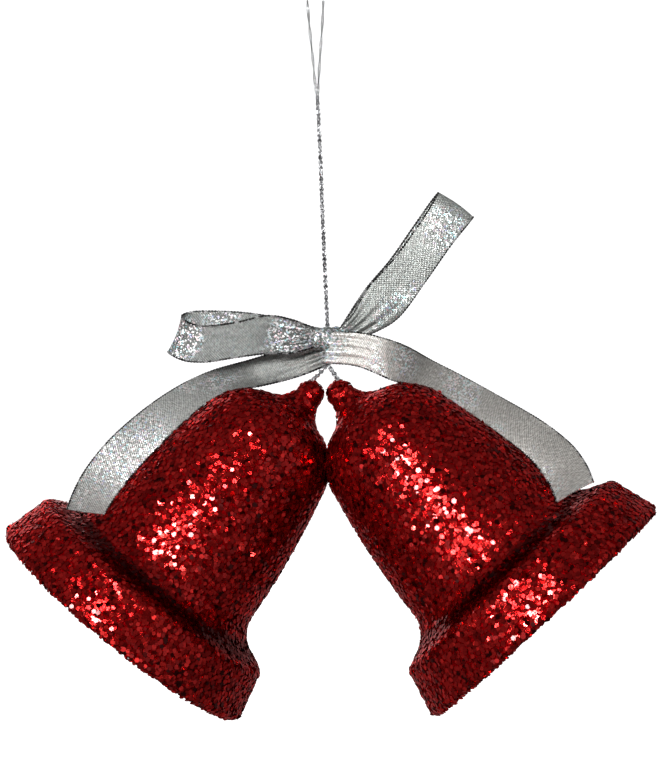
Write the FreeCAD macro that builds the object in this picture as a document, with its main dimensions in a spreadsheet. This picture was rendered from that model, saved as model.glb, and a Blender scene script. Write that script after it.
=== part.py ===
import FreeCAD, Part
import math
import os
import Sketcher
from FreeCAD import Placement, Rotation, Vector

# A pair of glittered bells under a ribbon bow, on a looped hanging cord.
# +X is to the right, +Y is away from the viewer, +Z is up. The origin is the top of the hanging loop.
# Bell shapes are drawn in the bell's own frame: Z runs down its axis from the knob, X is the radius.

# Driving dimensions, in millimetres and degrees.
SIZES = {
    # hanging cord
    "strand_radius": 0.3,
    "twist_radius": 0.48,
    "eye_radius": 1.9,
    "loop_length": 35.5,
    "loop_lean": 0.97,
    "stem_length": 58.5,
    "stem_lean": 2.64,
    # bow
    "ribbon_width": 10.0,
    "ribbon_thickness": 0.35,
    "wrap_length": 7.5,
    "wrap_radius": 3.0,
    "wrap_wall": 0.6,
    "wrap_drop": 3.2,
    "wrap_hole_radius": 0.95,
    "layer_gap": 3.0,
    "left_loop_length": 36.0,
    "left_loop_rise": 2.3,
    "left_loop_gap": 4.2,
    "right_loop_length": 40.0,
    "right_loop_rise": 48.0,
    "right_loop_gap": 5.5,
    "tail_set_back": 2.0,
    "tail_lean": 38.0,
    "tail_clearance": 0.4,
    # cord ends below the bow
    "neck_drop": 9.6,
    "left_leg_spread": 4.25,
    "right_leg_spread": 3.0,
    "leg_fall": 4.1,
    "cord_gap": 0.9,
    # bells
    "left_tilt": 39.2,
    "right_tilt": 42.8,
    "left_swing": 0.0,
    "right_swing": -8.5,
    "coat": 0.5,
    "wall": 3.5,
    "knob_radius": 3.2,
    "neck_depth": 4.3,
    "neck_bend": 5.8,
    "collar_radius": 8.1,
    "collar_depth": 10.3,
    "shoulder_radius": 18.4,
    "shoulder_depth": 22.3,
    "shoulder_bend": 15.8,
    "waist_radius": 23.4,
    "waist_depth": 58.8,
    "waist_bend": 210.0,
    "groove_radius": 27.8,
    "groove_depth": 62.9,
    "groove_bend": 5.2,
    "step_radius": 32.2,
    "step_depth": 64.7,
    "step_bend": 2.2,
    "band_radius": 34.1,
    "band_depth": 66.9,
    "mouth_radius": 37.5,
    "mouth_depth": 76.7,
    "lip_radius": 36.5,
    "bell_height": 77.9,
    "crown_depth": 13.8,
    "dome_bend": 15.0,
    "flare_radius": 33.5,
    # cord inside the bells and the clappers
    "cord_hole_radius": 0.8,
    "stopper_depth": 17.0,
    "stopper_radius": 1.6,
    "clapper_length": 43.0,
    "clapper_lean": 20.0,
    "bead_radius": 5.0,
    "bead_bore_radius": 0.7,
    "end_knot_radius": 1.3,
    "end_knot_gap": 0.4,
}

SIDES = {"left": -1, "right": 1}

# Bell stations where the tail's lower edge is fixed, and how far round to the front it sits there (degrees).
TAIL_STATIONS = ((15.8, -3.0), (21.8, -2.0), (31.8, 0.0), (41.8, 7.0), (50.8, 20.0), (58.3, 27.0))
# Shares of the tail's lower edge, from the bow to its cut end, where each length of it starts and stops.
ROOT_SPAN, ROOT_SECTIONS = (0.06, 0.14), 3
TAIL_SPAN, TAIL_SECTIONS = (0.3, 1.0), 9

doc = FreeCAD.newDocument("bell_ornament")
parts = []


def make_sheet():
    """The spreadsheet that holds the driving dimensions."""
    sheet = doc.addObject("Spreadsheet::Sheet", "Sizes")
    for row, (alias, value) in enumerate(SIZES.items(), start=1):
        sheet.set(f"A{row}", alias)
        sheet.set(f"B{row}", f"{value}")
        sheet.setAlias(f"B{row}", alias)
    doc.recompute()
    return sheet


SHEET = make_sheet()


def size(alias):
    """A driving dimension, read back from the sheet."""
    return float(getattr(SHEET, alias))


def link(thing, **expressions):
    """Bind properties of an object to sheet expressions, such as Radius="Sizes.bead_radius"."""
    for name, expression in expressions.items():
        thing.setExpression(name, expression)


def keep(thing, label):
    """Name an object as one of the sub-parts that are written out."""
    thing.Label = label
    parts.append(thing)
    return thing


def pointing(direction):
    """The rotation that points an object's own Z axis along a direction."""
    return Rotation(Vector(0, 0, 1), direction)


# ---------------------------------------------------------------- simple solids


def rod(name, radius, length, start, direction):
    """A cylinder from a start point along a direction, with its radius and length bound to the sheet."""
    thing = doc.addObject("Part::Cylinder", name)
    link(thing, Radius=radius, Height=length)
    thing.Placement = Placement(start, pointing(direction))
    return thing


def ball(name, radius, centre):
    """A sphere with its radius bound to the sheet."""
    thing = doc.addObject("Part::Sphere", name)
    link(thing, Radius=radius)
    thing.Placement = Placement(centre, Rotation())
    return thing


def cut(name, base, tool):
    """One solid less another."""
    thing = doc.addObject("Part::Cut", name)
    thing.Base = base
    thing.Tool = tool
    return thing


def fuse(name, *solids):
    """Several solids joined into one."""
    thing = doc.addObject("Part::MultiFuse", name)
    thing.Shapes = list(solids)
    return thing


# ---------------------------------------------------------------- bodies from sketches


def sketch_on(body, name, role):
    """A sketch on one of a body's own origin planes."""
    plane = next(part for part in body.Origin.OriginFeatures if part.Role == role)
    sketch = body.newObject("Sketcher::SketchObject", name)
    sketch.AttachmentSupport = [(plane, "")]
    sketch.MapMode = "FlatFace"
    return sketch


def sheet_value(sketch, expression):
    """The number that a sheet expression stands for."""
    result = sketch.evalExpression(expression)
    return float(getattr(result, "Value", result))


def pin_point(sketch, geometry, end, across, along):
    """Fix one end of an edge at a radius and a station, both bound to the sheet."""
    for kind, expression in (("DistanceX", across), ("DistanceY", along)):
        value = sheet_value(sketch, expression)
        index = sketch.addConstraint(Sketcher.Constraint(kind, -1, 1, geometry, end, value))
        sketch.setExpression(f"Constraints[{index}]", expression)


def arc_between(start, end, radius, bulge):
    """The arc from start to end; bulge is 1 where it bows to the right of that direction, -1 to the left."""
    chord = end - start
    half = chord.Length / 2
    side = Vector(chord.y, -chord.x, 0).normalize() * bulge
    centre = (start + end) / 2 - side * math.sqrt(radius * radius - half * half)
    first, last = (start, end) if bulge > 0 else (end, start)
    angles = [math.atan2(point.y - centre.y, point.x - centre.x) for point in (first, last)]
    return Part.ArcOfCircle(Part.Circle(centre, Vector(0, 0, 1), radius), *angles)


def draw_outline(sketch, corners):
    """Draw a closed outline. A corner is (radius, station, bend, bulge) for the edge that leaves it;
    a bend of None makes that edge straight. Radii, stations and bends are sheet expressions."""
    points = [Vector(*(sheet_value(sketch, text) for text in corner[:2]), 0) for corner in corners]
    edges = []
    for index, (_, _, bend, bulge) in enumerate(corners):
        start, end = points[index], points[(index + 1) % len(points)]
        if bend is None:
            geometry = sketch.addGeometry(Part.LineSegment(start, end), False)
            edges.append((geometry, 1, 2))
        else:
            radius = sheet_value(sketch, bend)
            geometry = sketch.addGeometry(arc_between(start, end, radius, bulge), False)
            edges.append((geometry, 1, 2) if bulge > 0 else (geometry, 2, 1))
    for index, (geometry, _, last) in enumerate(edges):
        following, following_first, _ = edges[(index + 1) % len(edges)]
        sketch.addConstraint(
            Sketcher.Constraint("Coincident", geometry, last, following, following_first)
        )
    for (geometry, first, _), (across, along, bend, _) in zip(edges, corners):
        pin_point(sketch, geometry, first, across, along)
        if bend is not None:
            value = sheet_value(sketch, bend)
            index = sketch.addConstraint(Sketcher.Constraint("Radius", geometry, value))
            sketch.setExpression(f"Constraints[{index}]", bend)


def turned_solid(name, corners):
    """A body turned from an outline about its own Z axis."""
    body = doc.addObject("PartDesign::Body", name)
    sketch = sketch_on(body, f"{name}_outline", "XZ_Plane")
    draw_outline(sketch, corners)
    turn = body.newObject("PartDesign::Revolution", f"{name}_turn")
    turn.Profile = sketch
    turn.ReferenceAxis = (sketch, ["V_Axis"])
    turn.Angle = 360
    body.Tip = turn
    return body


# ---------------------------------------------------------------- places in the ornament


def loop_foot():
    """Where the two strands of the hanging loop meet."""
    lean = math.radians(size("loop_lean"))
    return Vector(math.sin(lean), 0, -math.cos(lean)) * size("loop_length")


def bow_top():
    """The top of the bow, where the hanging cord goes in."""
    lean = math.radians(size("stem_lean"))
    return loop_foot() + Vector(math.sin(lean), 0, -math.cos(lean)) * size("stem_length")


def cord_fork():
    """Where the two leg cords part, under the bow."""
    return bow_top() - Vector(0, 0, size("neck_drop"))


def swung(side, direction):
    """A direction turned with one side's bell, which may hang a little forward or back of the bow."""
    return Rotation(Vector(1, 0, 0), size(f"{side}_swing")).multVec(direction)


def leg_run(side):
    """From the fork to the top of a bell's knob."""
    spread = size(f"{side}_leg_spread") * SIDES[side]
    return swung(side, Vector(spread, 0, -size("leg_fall")))


def leg_end(side):
    """The top of a bell's knob, where its leg cord goes in."""
    return cord_fork() + leg_run(side)


def bell_directions(side):
    """A bell's axis, towards the mouth, the direction square to it on its outer side, and its back."""
    tilt = math.radians(size(f"{side}_tilt"))
    axis = Vector(SIDES[side] * math.sin(tilt), 0, -math.cos(tilt))
    outward = Vector(SIDES[side] * math.cos(tilt), 0, math.sin(tilt))
    return tuple(swung(side, direction) for direction in (axis, outward, Vector(0, 1, 0)))


def bell_point(side, station, radius, depth=0.0):
    """A point in the frame of the tilted bell: along its axis, square to it, and back from the viewer."""
    axis, outward, back = bell_directions(side)
    knob = size("knob_radius")
    apex = leg_end(side) - swung(side, Vector(0, 0, knob)) - axis * knob
    return apex + axis * station + outward * radius + back * depth


def bell_placement(side):
    """The placement that carries a bell drawn about its own Z axis to its tilted place."""
    axis, outward, _ = bell_directions(side)
    return Placement(bell_point(side, 0, 0), Rotation(outward, axis.cross(outward), axis, "ZXY"))


# ---------------------------------------------------------------- hanging cord


def loop_path():
    """The body and sketch of the loop's centre line: up one strand, over the eye and down the other."""
    eye, strand = size("eye_radius"), size("strand_radius")
    centre_depth = eye + strand
    touch = math.acos((eye - strand) / (size("loop_length") - centre_depth))
    right_top = Vector(eye * math.sin(touch), -centre_depth - eye * math.cos(touch), 0)
    left_top = Vector(-right_top.x, right_top.y, 0)
    right_foot = Vector(strand, -size("loop_length"), 0)
    left_foot = Vector(-strand, -size("loop_length"), 0)

    body = doc.addObject("PartDesign::Body", "cord_loop")
    path = sketch_on(body, "loop_path", "XZ_Plane")
    angles = [math.atan2(point.y + centre_depth, point.x) for point in (right_top, left_top)]
    angles[1] += 2 * math.pi
    circle = Part.Circle(Vector(0, -centre_depth, 0), Vector(0, 0, 1), eye)
    right = path.addGeometry(Part.LineSegment(right_foot, right_top), False)
    top = path.addGeometry(Part.ArcOfCircle(circle, *angles), False)
    left = path.addGeometry(Part.LineSegment(left_top, left_foot), False)
    path.addConstraint(Sketcher.Constraint("Tangent", right, 2, top, 1))
    path.addConstraint(Sketcher.Constraint("Tangent", top, 2, left, 1))
    path.addConstraint(Sketcher.Constraint("PointOnObject", top, 3, -2))
    bound = (
        ("Radius", (top,), "Sizes.eye_radius"),
        ("DistanceY", (top, 3, -1, 1), "Sizes.eye_radius + Sizes.strand_radius"),
        ("DistanceY", (right, 1, -1, 1), "Sizes.loop_length"),
        ("DistanceY", (left, 2, -1, 1), "Sizes.loop_length"),
        ("DistanceX", (-1, 1, right, 1), "Sizes.strand_radius"),
        ("DistanceX", (left, 2, -1, 1), "Sizes.strand_radius"),
    )
    for kind, places, expression in bound:
        value = sheet_value(path, expression)
        index = path.addConstraint(Sketcher.Constraint(kind, *places, value))
        path.setExpression(f"Constraints[{index}]", expression)
    doc.recompute()
    return path


def hanging_cord():
    """A teardrop loop of single strand, and the twisted pair of strands that runs down to the bow."""
    wire = Part.Wire(Part.__sortEdges__(loop_path().Shape.Edges))
    start = wire.OrderedVertexes[0].Point
    tangent = wire.OrderedVertexes[1].Point - start
    section = Part.Wire([Part.makeCircle(size("strand_radius"), start, tangent)])
    loop = doc.addObject("Part::Feature", "loop_strand")
    loop.Shape = wire.makePipeShell([section], True, False)
    loop.Placement = Placement(Vector(), Rotation(Vector(0, 1, 0), -size("loop_lean")))
    meeting = ball("strand_meeting", "Sizes.twist_radius + Sizes.strand_radius", loop_foot())
    stem = rod("stem", "Sizes.twist_radius", "Sizes.stem_length", loop_foot(), bow_top() - loop_foot())
    return keep(fuse("cord", loop, meeting, stem), "hanging_cord")


# ---------------------------------------------------------------- bow


def bow_knot():
    """The band of ribbon wrapped round the middle of the bow, open at the bottom for the cords."""
    body = doc.addObject("PartDesign::Body", "wrap")
    sketch = sketch_on(body, "wrap_section", "YZ_Plane")
    for radius in ("Sizes.wrap_radius", "Sizes.wrap_radius - Sizes.wrap_wall"):
        value = sheet_value(sketch, radius)
        circle = Part.Circle(Vector(0, 0, 0), Vector(0, 0, 1), value)
        ring = sketch.addGeometry(circle, False)
        sketch.addConstraint(Sketcher.Constraint("Coincident", ring, 3, -1, 1))
        index = sketch.addConstraint(Sketcher.Constraint("Radius", ring, value))
        sketch.setExpression(f"Constraints[{index}]", radius)
    band = body.newObject("PartDesign::Pad", "wrap_band")
    band.Profile = sketch
    band.Midplane = True
    link(band, Length="Sizes.wrap_length")
    body.Tip = band
    body.Placement = Placement(wrap_centre(), Rotation())
    hole = rod(
        "wrap_hole",
        "Sizes.wrap_hole_radius",
        "Sizes.neck_drop",
        wrap_centre(),
        Vector(0, 0, -1),
    )
    return keep(cut("wrap_cut", body, hole), "bow_knot")


def wrap_centre():
    """The middle of the ribbon wrap."""
    return bow_top() - Vector(0, 0, size("wrap_drop"))


def cord_knot():
    """The knot hidden in the wrap, which ties the hanging cord to the two leg cords."""
    knot = ball("knot_ball", "Sizes.wrap_radius - 2 * Sizes.wrap_wall", wrap_centre())
    neck = rod(
        "knot_neck",
        "Sizes.twist_radius",
        "Sizes.neck_drop - Sizes.wrap_drop",
        wrap_centre(),
        Vector(0, 0, -1),
    )
    return keep(fuse("knot", knot, neck), "cord_knot")


def ribbon_section(centre, across, along):
    """The thin rectangle where a ribbon is cut square to its length."""
    thick = along.cross(across).normalize() * (size("ribbon_thickness") / 2)
    half = across * (size("ribbon_width") / 2)
    corners = [centre + half + thick, centre - half + thick, centre - half - thick, centre + half - thick]
    return Part.makePolygon(corners + corners[:1])


def bow_loop(side):
    """A flattened loop of ribbon: out along one face, round the fold, and back along the other."""
    body = doc.addObject("PartDesign::Body", f"{side}_loop")
    sketch = sketch_on(body, f"{side}_loop_section", "XY_Plane")
    thick = "Sizes.ribbon_thickness"
    outer = "(Sizes.layer_gap + Sizes.ribbon_thickness) / 2"
    inner = "(Sizes.layer_gap - Sizes.ribbon_thickness) / 2"
    reach = f"Sizes.{side}_loop_length - {outer}"
    draw_outline(
        sketch,
        [
            ("0", "0", None, 1),
            (reach, "0", outer, 1),
            (f"{reach} + {outer}", outer, outer, 1),
            (reach, f"2 * {outer}", None, 1),
            ("0", f"2 * {outer}", None, 1),
            ("0", f"2 * {outer} - {thick}", None, 1),
            (reach, f"2 * {outer} - {thick}", inner, -1),
            (f"{reach} + {inner}", outer, inner, -1),
            (reach, thick, None, 1),
            ("0", thick, None, 1),
        ],
    )
    band = body.newObject("PartDesign::Pad", f"{side}_loop_band")
    band.Profile = sketch
    band.Midplane = True
    link(band, Length="Sizes.ribbon_width")
    body.Tip = band
    rise = math.radians(size(f"{side}_loop_rise"))
    direction = Vector(SIDES[side] * math.cos(rise), 0, math.sin(rise))
    back = Vector(0, 1, 0)
    middle = (size("layer_gap") + size("ribbon_thickness")) / 2
    start = wrap_centre() + direction * size(f"{side}_loop_gap") - back * middle
    body.Placement = Placement(start, Rotation(direction, back, direction.cross(back), "ZXY"))
    return keep(body, f"bow_{side}_loop")


def radius_at(bell, station):
    """The outer radius of a bell solid, drawn about its own axis, at a station along it."""
    reach = size("mouth_radius") * 2
    line = Part.makeLine(Vector(0, 0, station), Vector(reach, 0, station))
    return line.common(bell).BoundBox.XMax


def tail_edge(side, bell):
    """The curve that a tail's lower edge follows, from the bow, over the bell's shoulder, to its groove."""
    points = [cord_fork() + Vector(0, size("tail_set_back"), 0)]
    for station, forward in TAIL_STATIONS:
        reach = radius_at(bell, station) + size("tail_clearance")
        turn = math.radians(forward)
        points.append(bell_point(side, station, reach * math.cos(turn), -reach * math.sin(turn)))
    curve = Part.BSplineCurve()
    curve.interpolate(points)
    return curve


def tail_piece(side, curve, span, count, name):
    """A length of tail over a span of its lower edge. It leans back near the bow and stands up straight
    at its end."""
    first, last = curve.FirstParameter, curve.LastParameter
    start, end = span
    _, outward, back = bell_directions(side)
    sections = []
    for index in range(count):
        share = start + (end - start) * index / (count - 1)
        place = first + (last - first) * share
        along = curve.tangent(place)[0]
        lean = math.radians(size("tail_lean")) * (1 - share)
        up = outward * math.cos(lean) + back * math.sin(lean)
        across = (up - along * up.dot(along)).normalize()
        centre = curve.value(place) + across * (size("ribbon_width") / 2)
        sections.append(ribbon_section(centre, across, along))
    piece = doc.addObject("Part::Feature", name)
    piece.Shape = Part.makeLoft(sections, True, False)
    return keep(piece, name)


# ---------------------------------------------------------------- bells


def outer_corners(inset):
    """The bell's outside from the knob down to the lip, moved in by an inset."""
    neck = f"sqrt((Sizes.knob_radius - {inset}) ^ 2 - (Sizes.neck_depth - Sizes.knob_radius) ^ 2)"
    return [
        ("0", f"{inset}", f"Sizes.knob_radius - {inset}", 1),
        (neck, "Sizes.neck_depth", f"Sizes.neck_bend + {inset}", -1),
        (
            f"Sizes.collar_radius - {inset} / 3",
            f"Sizes.collar_depth + {inset}",
            f"Sizes.shoulder_bend - {inset}",
            1,
        ),
        (
            f"Sizes.shoulder_radius - {inset}",
            "Sizes.shoulder_depth",
            f"Sizes.waist_bend - {inset}",
            1,
        ),
        (f"Sizes.waist_radius - {inset}", "Sizes.waist_depth", f"Sizes.groove_bend + {inset}", -1),
        (f"Sizes.groove_radius - {inset}", f"Sizes.groove_depth + {inset}", None, 1),
        (
            f"Sizes.step_radius - {inset}",
            f"Sizes.step_depth + {inset}",
            f"Sizes.step_bend - {inset} / 2",
            1,
        ),
        (f"Sizes.band_radius - {inset}", f"Sizes.band_depth + {inset} / 2", None, 1),
        (f"Sizes.mouth_radius - {inset}", "Sizes.mouth_depth", None, 1),
    ]


def bell_envelope(name, inset, mouth):
    """A solid bell with no hollow, cut off flat at the mouth."""
    corners = outer_corners(inset)
    corners.append((f"Sizes.lip_radius - {inset}", mouth, None, 1))
    corners.append(("0", mouth, None, 1))
    return turned_solid(name, corners)


def bell_shell_body(name):
    """The moulded bell: the outside less the coat, and a domed hollow that flares at the mouth."""
    corners = outer_corners("Sizes.coat")
    corners.append(("Sizes.lip_radius - Sizes.coat", "Sizes.bell_height", None, 1))
    corners.append(("Sizes.flare_radius", "Sizes.bell_height", None, 1))
    corners.append(("Sizes.waist_radius - Sizes.wall", "Sizes.waist_depth", None, 1))
    corners.append(
        ("Sizes.shoulder_radius - Sizes.wall", "Sizes.shoulder_depth + Sizes.coat", "Sizes.dome_bend", -1)
    )
    corners.append(("0", "Sizes.crown_depth", None, 1))
    return turned_solid(name, corners)


def hole_direction(side):
    """The way the cord hole runs, from the top of the knob to the stopper knot inside the crown."""
    return bell_point(side, size("stopper_depth"), 0) - leg_end(side)


def cord_hole(side, name):
    """The hole for the cord, from above the knob to the stopper knot."""
    direction = hole_direction(side).normalize()
    start = leg_end(side) - direction * size("knob_radius")
    return rod(name, "Sizes.cord_hole_radius", "Sizes.stopper_depth + Sizes.knob_radius", start, direction)


def bell(side):
    """A bell's shell and the glitter coat glued to its outside, both pierced for the cord."""
    shell = bell_shell_body(f"{side}_shell")
    shell.Placement = bell_placement(side)
    outside = bell_envelope(f"{side}_outside", "0", "Sizes.bell_height")
    inside = bell_envelope(f"{side}_inside", "Sizes.coat", "Sizes.bell_height + Sizes.coat")
    coat = cut(f"{side}_skin", outside, inside)
    coat.Placement = bell_placement(side)
    keep(cut(f"{side}_shell_pierced", shell, cord_hole(side, f"{side}_shell_hole")), f"{side}_bell_shell")
    keep(cut(f"{side}_coat_pierced", coat, cord_hole(side, f"{side}_coat_hole")), f"{side}_glitter_coat")
    return outside


def leg_cord(side):
    """The cord from the fork under the bow to the top of the bell's knob."""
    direction = leg_run(side).normalize()
    leg = rod(
        f"{side}_leg",
        "Sizes.twist_radius",
        f"sqrt(Sizes.{side}_leg_spread ^ 2 + Sizes.leg_fall ^ 2) - 2 * Sizes.cord_gap",
        cord_fork() + direction * size("cord_gap"),
        direction,
    )
    return keep(leg, f"{side}_leg_cord")


def crown_cord(side):
    """The cord through the crown, with the stopper knot that carries the bell."""
    stopper = ball(f"{side}_stopper", "Sizes.stopper_radius", bell_point(side, size("stopper_depth"), 0))
    below_knob = "(Sizes.stopper_depth - Sizes.knob_radius)"
    length = (
        f"sqrt(Sizes.knob_radius ^ 2 + {below_knob} ^ 2"
        f" + 2 * Sizes.knob_radius * {below_knob} * cos(Sizes.{side}_tilt * 1 deg))"
    )
    stalk = rod(f"{side}_stalk", "Sizes.twist_radius", length, leg_end(side), hole_direction(side))
    return keep(fuse(f"{side}_crown", stopper, stalk), f"{side}_crown_cord")


def clapper_pivot(side):
    """The point under the stopper knot that the clapper swings from."""
    return bell_point(side, size("stopper_depth") + size("stopper_radius") + size("strand_radius"), 0)


def clapper(side):
    """The clapper's cord, its bead, and the knot that holds the bead on."""
    axis, outward, _ = bell_directions(side)
    lean = math.radians(size("clapper_lean"))
    direction = axis * math.cos(lean) - outward * math.sin(lean)
    start = clapper_pivot(side) + direction * size("strand_radius")
    cord = rod(f"{side}_clapper_line", "Sizes.strand_radius", "Sizes.clapper_length", start, direction)
    keep(cord, f"{side}_clapper_cord")

    centre = clapper_pivot(side) + direction * (size("clapper_length") - size("bead_radius"))
    whole = ball(f"{side}_bead", "Sizes.bead_radius", centre)
    bore_start = centre - direction * size("bead_radius") * 2
    bore = rod(f"{side}_bead_bore", "Sizes.bead_bore_radius", "Sizes.bead_radius * 4", bore_start, direction)
    keep(cut(f"{side}_bored_bead", whole, bore), f"{side}_clapper_bead")

    below = size("clapper_length") + size("strand_radius") + size("end_knot_radius") + size("end_knot_gap")
    knot = ball(f"{side}_end", "Sizes.end_knot_radius", clapper_pivot(side) + direction * below)
    keep(knot, f"{side}_clapper_end_knot")


# ---------------------------------------------------------------- assembly


def check_and_write():
    """Stop on any failed object or bad shape, then write one file for each sub-part."""
    doc.recompute()
    for thing in doc.Objects:
        if {"Invalid", "Error"} & set(thing.State):
            raise RuntimeError(f"{thing.Name} failed: {thing.State}")
    for part in parts:
        if part.Shape.isNull() or not part.Shape.isValid() or not part.Shape.Solids:
            raise RuntimeError(f"{part.Label} has no valid solid")
    os.makedirs("parts", exist_ok=True)
    for part in parts:
        part.Shape.exportStep(f"parts/{part.Label}.step")


def build_side(side):
    """One bow loop, and the leg, bell, clapper and tail that hang on the same side."""
    bow_loop(side)
    leg_cord(side)
    crown_cord(side)
    envelope = bell(side)
    clapper(side)
    doc.recompute()
    edge = tail_edge(side, envelope.Shape)
    tail_piece(side, edge, ROOT_SPAN, ROOT_SECTIONS, f"{side}_tail_root")
    tail_piece(side, edge, TAIL_SPAN, TAIL_SECTIONS, f"{side}_tail")


hanging_cord()
bow_knot()
cord_knot()
for bell_side in SIDES:
    build_side(bell_side)
check_and_write()
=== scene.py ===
import math

import bpy
import numpy as np
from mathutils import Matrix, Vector


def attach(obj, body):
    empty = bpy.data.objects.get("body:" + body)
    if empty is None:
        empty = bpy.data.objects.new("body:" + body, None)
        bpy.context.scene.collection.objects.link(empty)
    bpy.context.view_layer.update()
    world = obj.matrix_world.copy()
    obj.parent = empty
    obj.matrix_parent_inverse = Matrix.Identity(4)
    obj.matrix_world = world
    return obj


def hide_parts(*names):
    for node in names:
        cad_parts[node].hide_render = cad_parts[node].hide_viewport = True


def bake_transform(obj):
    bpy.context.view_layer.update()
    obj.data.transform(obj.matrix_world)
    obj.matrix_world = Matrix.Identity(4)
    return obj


# A pair of glittered bells under a ribbon bow, on a looped hanging cord.
# Lengths are in millimetres, in the ornament's frame: +X right, +Y away from the viewer, +Z up.

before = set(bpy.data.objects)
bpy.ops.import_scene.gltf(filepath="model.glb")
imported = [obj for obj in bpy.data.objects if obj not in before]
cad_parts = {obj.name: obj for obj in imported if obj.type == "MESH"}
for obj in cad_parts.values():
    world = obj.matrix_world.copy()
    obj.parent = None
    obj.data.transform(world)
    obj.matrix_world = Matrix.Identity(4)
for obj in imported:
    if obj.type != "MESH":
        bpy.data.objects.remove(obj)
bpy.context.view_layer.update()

MM = 0.001
SIDES = {"left": -1, "right": 1}
UP = np.array([0.0, 0.0, 1.0])
BACK = np.array([0.0, 1.0, 0.0])

# ---- sizes shared with the design

EYE_RADIUS = 1.9
STRAND_RADIUS = 0.3
# the loop of single cord, and the twisted stem under it: length and degrees it leans from straight down
LOOP_LENGTH, LOOP_LEAN = 35.5, 0.97
STEM_LENGTH, STEM_LEAN = 58.5, 2.64
# how far the middle of the bow, and the place where the two leg cords part, lie below the stem
WRAP_DROP, FORK_DROP = 3.2, 9.6
LEG_SPREAD = {"left": 4.25, "right": 3.0}
LEG_FALL = 4.1
# degrees each bell tilts outwards, and degrees it hangs swung away from the viewer
TILT = {"left": 39.2, "right": 42.8}
SWING = {"left": 0.0, "right": -8.5}
KNOB_RADIUS, COATED_KNOB_RADIUS, NECK_DEPTH = 3.2, 3.5, 4.3
NECK_RADIUS = math.sqrt(COATED_KNOB_RADIUS**2 - (NECK_DEPTH - COATED_KNOB_RADIUS) ** 2)
BELL_HEIGHT, MOUTH_RADIUS = 77.9, 36.5
# corners of the bell's outline: radius, station (the distance down its axis from the top of the knob),
# and the bend of the edge that leaves it, as an arc's radius (0 is straight, negative is hollow)
OUTSIDE = (
    (0.0, 0.0, COATED_KNOB_RADIUS),
    (NECK_RADIUS, NECK_DEPTH, -7.5),
    (8.9, 9.8, 15.4),
    (18.6, 22.3, 210.0),
    (24.1, 56.6, -9.0),
    (29.2, 62.9, 0.0),
    (32.6, 64.4, 2.6),
    (34.8, 67.0, 0.0),
    (37.5, 76.7, 0.0),
    (MOUTH_RADIUS, BELL_HEIGHT, 0.0),
)
HOLLOW = (
    (MOUTH_RADIUS, BELL_HEIGHT, 0.0),
    (33.5, BELL_HEIGHT, 0.0),
    (19.9, 58.8, 0.0),
    (14.9, 22.8, -15.0),
    (0.0, 13.8, 0.0),
)
LIP_END = (30.5, 73.6, 0.0)
STOPPER_DEPTH, STOPPER_RADIUS = 17.0, 1.6
CLAPPER_LENGTH, CLAPPER_LEAN = 43.0, 20.0
BEAD_RADIUS, BEAD_BORE, END_KNOT_RADIUS = 5.0, 0.7, 1.3
RIBBON_WIDTH, RIBBON_THICKNESS = 10.0, 0.3

# ---- looks and detail

OUTLINE_STEP = 0.7
BELL_TURNS, BEAD_TURNS, BEAD_ROWS = 144, 64, 40
OUTER_UNEVENNESS, INNER_UNEVENNESS = 0.1, 0.22
# swellings: how many, how many times they go round, how close they lie along, and their phase
RIPPLE_WAVES, WAVES_AROUND, WAVES_ALONG, WAVE_PHASE = 9, (2, 26), (0.1, 0.9), 6.3

# points round the eye, along the loop and round a knot, and the step along a straight cord
EYE_POINTS, LOOP_POINTS, KNOT_POINTS, CORD_STEP = 60, 700, 90, 0.1
# the length of one twist, and the radius of each cord; a ply's values are shares of its strand's
STRAND_TWIST, PAIR_TWIST = 1.3, 2.7
LOOP_CORD = 1.5 * STRAND_RADIUS
STEM_CORD, FORK_CORD, LEG_CORD, CROWN_CORD = 0.58, 0.62, 0.66, 0.46
PLY_RADIUS, PLY_PITCH = 0.62, 0.45
KNOT_CORD, END_KNOT_CORD = 0.5, 0.4
CORD_KNOT_RADIUS = 1.8
# how far each cord runs on into the next, and how far above the middle of the bow the stem stops
STEM_OVERLAP, FORK_OVERLAP, LEG_OVERLAP, CROWN_OVERLAP, CLAPPER_OVERLAP = 1.2, 0.6, 0.5, 0.3, 1.0
STEM_STOP = 2.0
# how far the stem sways, the wavelength, and the points over which the sway fades
STEM_SWAY, SWAY_WAVE, SWAY_FADE = 0.06, 14.0, 60

FLAKE_SIDES = 6
FLAKE_POINTS = FLAKE_SIDES + 1
FLAKE_CORNERS = np.arange(FLAKE_SIDES) * 2 * math.pi / FLAKE_SIDES
# how far a flake reaches in its cell of the bake layout
CELL_REACH = 0.42
# flakes: radius, distance apart, and degrees of tilt; a few are loose, and a few are dark
FLAKE_RADIUS, FLAKE_PITCH, FLAKE_TILT = 0.62, 0.92, 6.5
FLAKE_SIZES = (0.8, 1.12)
LOOSE_FLAKE_SHARE, LOOSE_FLAKE_TILT = 0.04, 22.0
DARK_FLAKE_SHARE, DARK_FLAKE_TONE = 0.07, 0.15
FLAKE_TONE, TONE_SPREAD, TONE_LEAST = 0.62, 0.13, 0.2
FLAKE_SCATTER, FLAKE_LIFTS = 0.3, (-0.28, 0.12)
LIP_SHARE = 0.8
STRAY_PITCH, STRAY_SHARE = 2.4, 0.35
FLAKE_ROOT, COAT_DEPTH = 0.55, 0.45
# painted shade in the groove above the rim: the station it centres on, its reach, and how much darker the
# flakes there are painted
GROOVE_STATION, GROOVE_REACH, GROOVE_SHADE = 62.5, 1.6, 0.7
BEAD_FLAKES, BEAD_FLAKE_RADIUS = 420, 0.55
BEAD_COAT, BEAD_FLAKE_DEPTH, BEAD_UNEVENNESS = 0.25, 0.15, 0.04
# the bore radii around the bead's bore that stay bare, and how much closer its swellings lie
BEAD_BARE, BEAD_WAVES = 1.8, 3

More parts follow.
